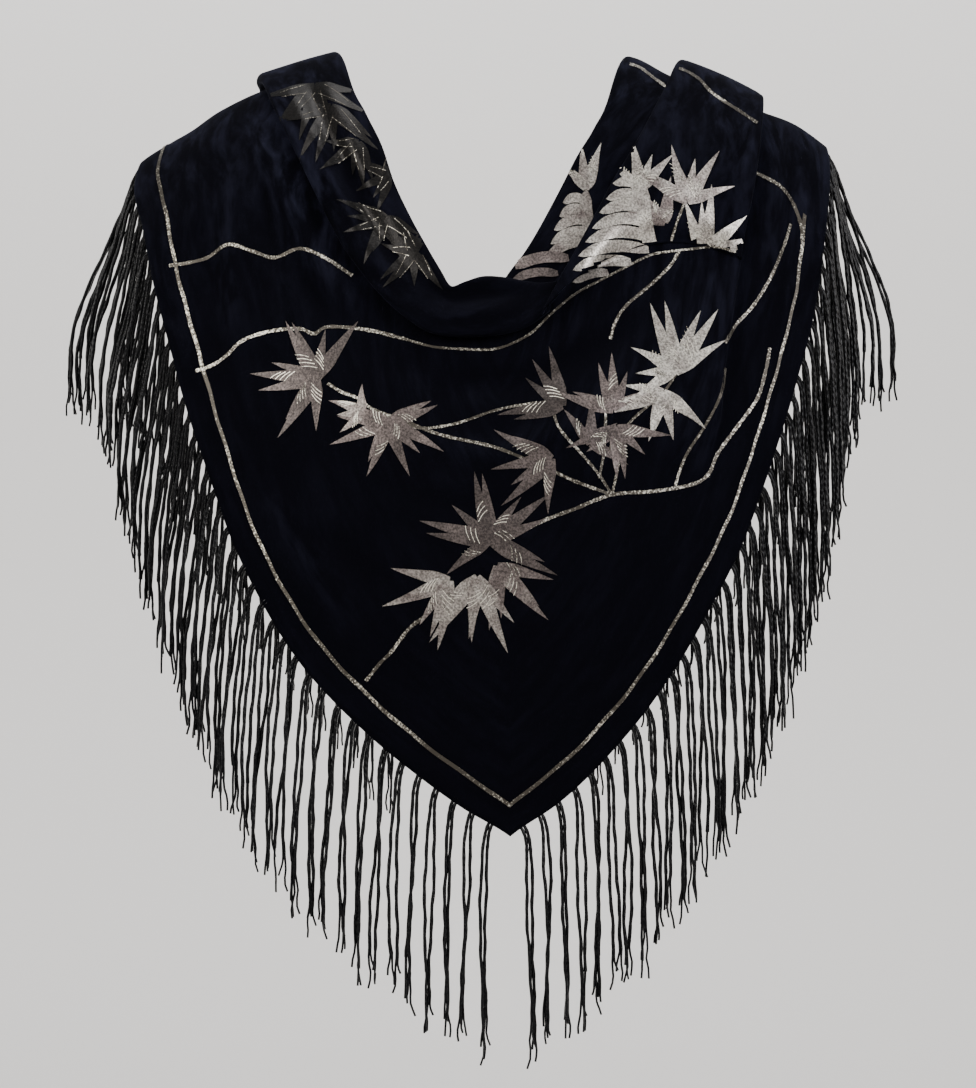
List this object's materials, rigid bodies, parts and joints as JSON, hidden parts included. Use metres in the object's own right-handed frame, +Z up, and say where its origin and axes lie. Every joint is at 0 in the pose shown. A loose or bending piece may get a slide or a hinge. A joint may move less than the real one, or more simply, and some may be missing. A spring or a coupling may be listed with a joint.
{
  "type": "velvet scarf",
  "caption": "Triangular velvet scarf with a leaf pattern and a yarn fringe, hollow as worn with its point to the front and a cowl at the neck.",
  "frame": {"origin": "middle of the neck opening, at the height where the shoulders start", "axes": "+Z up, the front with its point faces -Y, +X to the right in a front view"},
  "size_m": [0.4911, 0.2483, 0.5768],
  "materials": {
    "velvet": "matte",
    "yarn": "satin"
  },
  "bodies": {
    "root": {"front_drop": "velvet", "neck_roll": "velvet", "right_inner_pleat": "velvet", "right_middle_pleat": "velvet", "left_tail": "velvet", "right_tail": "velvet", "front_left_fringe": "yarn", "front_right_fringe": "yarn", "back_left_fringe": "yarn", "back_right_fringe": "yarn"}
  },
  "joints": []
}
